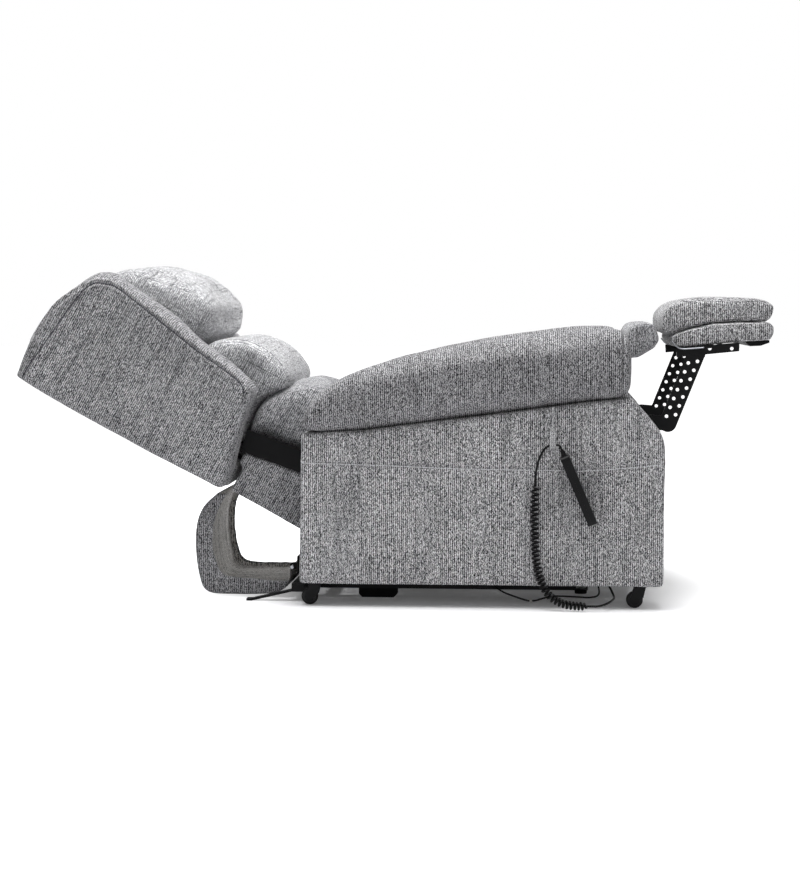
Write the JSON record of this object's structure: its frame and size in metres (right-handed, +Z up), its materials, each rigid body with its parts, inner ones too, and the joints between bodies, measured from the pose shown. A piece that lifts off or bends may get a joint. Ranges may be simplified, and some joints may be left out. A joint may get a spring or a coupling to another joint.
{
  "type": "lift recliner chair",
  "caption": "Upholstered lift recliner chair, fully reclined with its legrest out, on a steel lift base with castors and a corded handset.",
  "frame": {"origin": "on the floor, under the middle of the chair's overall box when it is fully reclined", "axes": "+X towards the legrest, +Y to the sitter's left, +Z up"},
  "size_m": [1.7483, 0.8422, 0.7786],
  "materials": {
    "fabric_side": "heather tweed with fine ribs",
    "fabric_top": "heather chenille",
    "fabric_curtain": "plain cloth",
    "steel_black": "satin powder coat",
    "steel_bright": "zinc plated",
    "motor_black": "matt",
    "handset_black": "satin",
    "button_grey": "satin",
    "rubber_black": "matt",
    "wheel_black": "hard tread",
    "tie_pale": "matt"
  },
  "bodies": {
    "base": {"base_frame": "steel_black", "base_feet": "rubber_black", "stabiliser_bars": "steel_black", "base_pins": "steel_bright"},
    "rear_link": {"rear_lift_links": "steel_black"},
    "front_link": {"front_lift_links": "steel_black"},
    "chassis": {"chassis_frame": "steel_black", "chassis_pins": "steel_bright", "curtain_rod": "steel_bright", "control_box": "motor_black", "right_arm_box": "fabric_side", "left_arm_box": "fabric_side", "right_arm_pad": "fabric_top", "left_arm_pad": "fabric_top", "handset_case": "handset_black", "handset_gland": "handset_black", "handset_strap": "fabric_top", "handset_cord": "rubber_black", "handset_coil": "rubber_black", "handset_tail": "rubber_black", "control_lead": "rubber_black", "lead_tie": "tie_pale"},
    "lift_motor": {"lift_motor": "motor_black"},
    "lift_rod": {"lift_rod": "steel_bright"},
    "recline_motor": {"recline_motor": "motor_black"},
    "recline_rod": {"recline_rod": "steel_bright"},
    "seat": {"seat_frame": "steel_black", "seat_rear_deck": "fabric_side", "seat_springs": "steel_bright", "seat_cushion": "fabric_top", "seat_front_roll": "fabric_top"},
    "legrest_link": {"legrest_links": "steel_black"},
    "legrest": {"legrest_plates": "steel_black", "legrest_board": "fabric_side", "legrest_cushion": "fabric_top", "legrest_bumper": "rubber_black"},
    "back": {"back_frame": "steel_black", "lower_back_box": "fabric_side", "back_rear_panel": "fabric_side", "right_wing": "fabric_side", "left_wing": "fabric_side", "head_pillow": "fabric_top", "lumbar_pillow": "fabric_top", "lower_pillow": "fabric_top"},
    "curtain_lower": {"curtain_lower": "fabric_curtain"},
    "curtain_upper": {"curtain_upper": "fabric_curtain"},
    "rear_right_fork": {"rear_right_castor_fork": "steel_black"},
    "rear_right_wheel": {"rear_right_castor_wheel": "wheel_black"},
    "rear_left_fork": {"rear_left_castor_fork": "steel_black"},
    "rear_left_wheel": {"rear_left_castor_wheel": "wheel_black"},
    "front_right_fork": {"front_right_castor_fork": "steel_black"},
    "front_right_wheel": {"front_right_castor_wheel": "wheel_black"},
    "front_left_fork": {"front_left_castor_fork": "steel_black"},
    "front_left_wheel": {"front_left_castor_wheel": "wheel_black"},
    "button_back_up": {"button_back_up": "button_grey"},
    "button_back_down": {"button_back_down": "button_grey"},
    "button_legs_up": {"button_legs_up": "button_grey"},
    "button_legs_down": {"button_legs_down": "button_grey"}
  },
  "joints": [
    {"name": "lift", "type": "hinge", "parent": "base", "child": "rear_link", "pos_m": [0.299, 0, 0.109], "axis": [0, 1, 0], "range_deg": [0, 44]},
    {"name": "chassis_on_rear_link", "type": "hinge", "parent": "rear_link", "child": "chassis", "pos_m": [-0.172, 0, 0.123], "axis": [0, 1, 0], "range_deg": [-21.02, 0]},
    {"name": "front_link_on_base", "type": "hinge", "parent": "base", "child": "front_link", "pos_m": [0.37, 0, 0.088], "axis": [0, 1, 0], "range_deg": [0, 53.32]},
    {"name": "lift_motor_swing", "type": "hinge", "parent": "base", "child": "lift_motor", "pos_m": [-0.155, 0, 0.062], "axis": [0, 1, 0], "range_deg": [0, 1.56]},
    {"name": "lift_rod_slide", "type": "slide", "parent": "lift_motor", "child": "lift_rod", "axis": [0.9674, 0, 0.2531], "range_m": [0, 0.05094]},
    {"name": "recline", "type": "hinge", "parent": "chassis", "child": "back", "pos_m": [-0.1194, 0, 0.2606], "axis": [0, 1, 0], "range_deg": [0, 50]},
    {"name": "recline_motor_swing", "type": "hinge", "parent": "chassis", "child": "recline_motor", "pos_m": [0.47, -0.06, 0.14], "axis": [0, 1, 0], "range_deg": [-0.5096, 0]},
    {"name": "recline_rod_slide", "type": "slide", "parent": "recline_motor", "child": "recline_rod", "axis": [-0.9975, 0, 0.0706], "range_m": [0, 0.07592]},
    {"name": "curtain_swing", "type": "hinge", "parent": "chassis", "child": "curtain_lower", "pos_m": [-0.246, 0, 0.072], "axis": [0, 1, 0], "range_deg": [0, 71.4]},
    {"name": "curtain_fold", "type": "hinge", "parent": "curtain_lower", "child": "curtain_upper", "pos_m": [-0.446, 0, 0.009], "axis": [0, 1, 0], "range_deg": [-67.28, 0]},
    {"name": "tilt", "type": "hinge", "parent": "chassis", "child": "seat", "pos_m": [0.02, 0, 0.3725], "axis": [0, 1, 0], "range_deg": [0, 15]},
    {"name": "legrest_link_on_seat", "type": "hinge", "parent": "seat", "child": "legrest_link", "pos_m": [0.418, 0, 0.358], "axis": [0, 1, 0], "range_deg": [-85.02, 0]},
    {"name": "legrest_on_link", "type": "hinge", "parent": "legrest_link", "child": "legrest", "pos_m": [0.585, 0, 0.417], "axis": [0, 1, 0], "range_deg": [0, 163.02]},
    {"name": "rear_right_castor_swivel", "type": "hinge", "parent": "chassis", "child": "rear_right_fork", "pos_m": [-0.18, -0.3445, 0.05], "axis": [0, 0, 1], "continuous": true},
    {"name": "rear_right_castor_spin", "type": "hinge", "parent": "rear_right_fork", "child": "rear_right_wheel", "pos_m": [-0.192, -0.3445, 0.019], "axis": [0, 1, 0], "continuous": true},
    {"name": "rear_left_castor_swivel", "type": "hinge", "parent": "chassis", "child": "rear_left_fork", "pos_m": [-0.18, 0.3445, 0.05], "axis": [0, 0, 1], "continuous": true},
    {"name": "rear_left_castor_spin", "type": "hinge", "parent": "rear_left_fork", "child": "rear_left_wheel", "pos_m": [-0.192, 0.3445, 0.019], "axis": [0, 1, 0], "continuous": true},
    {"name": "front_right_castor_swivel", "type": "hinge", "parent": "chassis", "child": "front_right_fork", "pos_m": [0.561, -0.3445, 0.05], "axis": [0, 0, 1], "continuous": true},
    {"name": "front_right_castor_spin", "type": "hinge", "parent": "front_right_fork", "child": "front_right_wheel", "pos_m": [0.549, -0.3445, 0.019], "axis": [0, 1, 0], "continuous": true},
    {"name": "front_left_castor_swivel", "type": "hinge", "parent": "chassis", "child": "front_left_fork", "pos_m": [0.561, 0.3445, 0.05], "axis": [0, 0, 1], "continuous": true},
    {"name": "front_left_castor_spin", "type": "hinge", "parent": "front_left_fork", "child": "front_left_wheel", "pos_m": [0.549, 0.3445, 0.019], "axis": [0, 1, 0], "continuous": true},
    {"name": "press_back_up", "type": "slide", "parent": "chassis", "child": "button_back_up", "axis": [-0.9205, 0, -0.3907], "range_m": [0, 0.0015], "stiffness_N_per_m": 800},
    {"name": "press_back_down", "type": "slide", "parent": "chassis", "child": "button_back_down", "axis": [-0.9205, 0, -0.3907], "range_m": [0, 0.0015], "stiffness_N_per_m": 800},
    {"name": "press_legs_up", "type": "slide", "parent": "chassis", "child": "button_legs_up", "axis": [-0.9205, 0, -0.3907], "range_m": [0, 0.0015], "stiffness_N_per_m": 800},
    {"name": "press_legs_down", "type": "slide", "parent": "chassis", "child": "button_legs_down", "axis": [-0.9205, 0, -0.3907], "range_m": [0, 0.0015], "stiffness_N_per_m": 800}
  ],
  "couplings": [
    {"joint": "chassis_on_rear_link", "follows": "lift", "ratio": -0.47727},
    {"joint": "front_link_on_base", "follows": "lift", "ratio": 1.2114},
    {"joint": "lift_motor_swing", "follows": "lift", "ratio": 0.035055},
    {"joint": "lift_rod_slide", "follows": "lift", "m_per_rad": 0.066302},
    {"joint": "recline_motor_swing", "follows": "recline", "ratio": -0.009792},
    {"joint": "recline_rod_slide", "follows": "recline", "m_per_rad": 0.08698},
    {"joint": "curtain_swing", "follows": "recline", "ratio": 1.4275},
    {"joint": "curtain_fold", "follows": "recline", "ratio": -1.3453},
    {"joint": "legrest_link_on_seat", "follows": "tilt", "ratio": -5.6667},
    {"joint": "legrest_on_link", "follows": "tilt", "ratio": 10.867}
  ]
}
